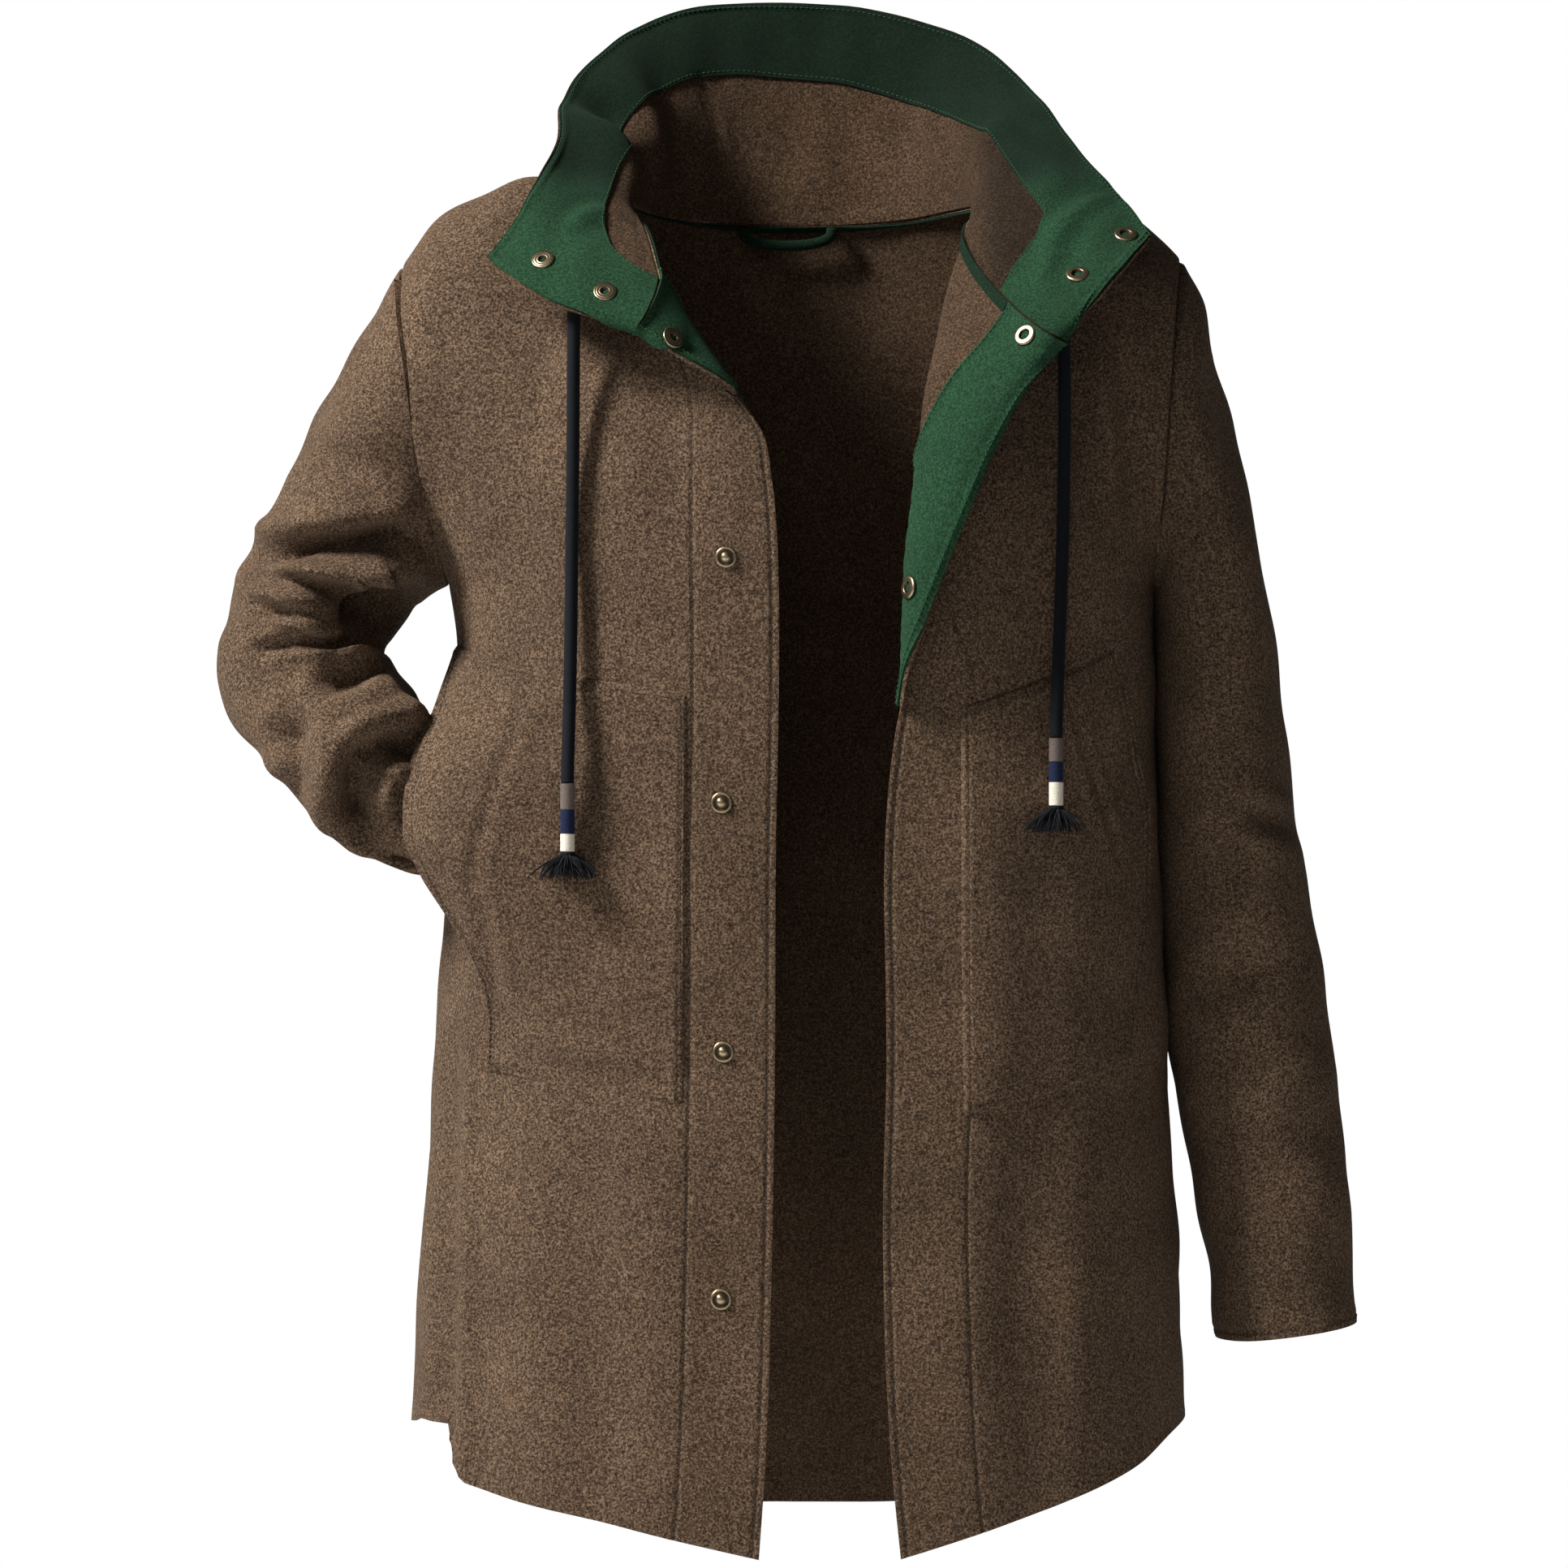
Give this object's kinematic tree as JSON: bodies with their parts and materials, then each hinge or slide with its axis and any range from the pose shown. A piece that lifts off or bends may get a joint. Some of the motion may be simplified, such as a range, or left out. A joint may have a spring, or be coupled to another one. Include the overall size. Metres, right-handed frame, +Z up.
{
  "type": "loden coat",
  "caption": "Open felted-wool coat with stand-up collar turned out over a green facing, snaps, patch pockets and tasselled drawstrings, filled out, one sleeve bent into a pocket.",
  "frame": {"origin": "the middle of the wearer's neck at shoulder height, where the shoulders carry the coat", "axes": "+Z up along the wearer's spine, +X towards the wearer's left, +Y towards the coat's back, -Y out of its open front"},
  "size_m": [0.7076, 0.3055, 0.9732],
  "materials": {
    "loden_brown": "felted wool, mottled brown, short lying nap",
    "loden_green": "felted wool, plain green",
    "neck_tape": "woven tape, dark green",
    "antique_brass": "darkened brass, worn bright on the ridges",
    "cord_braid": "round braid, dark navy",
    "thread_grey": "wound thread, grey brown",
    "thread_navy": "wound thread, navy",
    "thread_cream": "wound thread, cream"
  },
  "bodies": {
    "root": {"back": "loden_brown", "collar": "loden_brown", "collar_facing": "loden_green", "cord_left": "cord_braid", "cord_right": "cord_braid", "facing_left": "loden_green", "facing_right": "loden_green", "front_left": "loden_brown", "front_right": "loden_brown", "hanger_loop": "neck_tape", "neck_binding": "neck_tape", "plate_1": "antique_brass", "plate_2": "antique_brass", "plate_3": "antique_brass", "plate_4": "antique_brass", "plate_5": "antique_brass", "plate_6": "antique_brass", "plate_7": "antique_brass", "pocket_left": "loden_brown", "pocket_right": "loden_brown", "sleeve_left": "loden_brown", "sleeve_right": "loden_brown", "socket_1": "antique_brass", "socket_2": "antique_brass", "socket_3": "antique_brass", "socket_4": "antique_brass", "socket_5": "antique_brass", "socket_6": "antique_brass", "socket_7": "antique_brass", "stud_1": "antique_brass", "stud_2": "antique_brass", "stud_3": "antique_brass", "stud_4": "antique_brass", "stud_5": "antique_brass", "stud_6": "antique_brass", "stud_7": "antique_brass", "tassel_left": "cord_braid", "tassel_right": "cord_braid", "wrap_cream_left": "thread_cream", "wrap_cream_right": "thread_cream", "wrap_grey_left": "thread_grey", "wrap_grey_right": "thread_grey", "wrap_navy_left": "thread_navy", "wrap_navy_right": "thread_navy"}
  },
  "joints": []
}
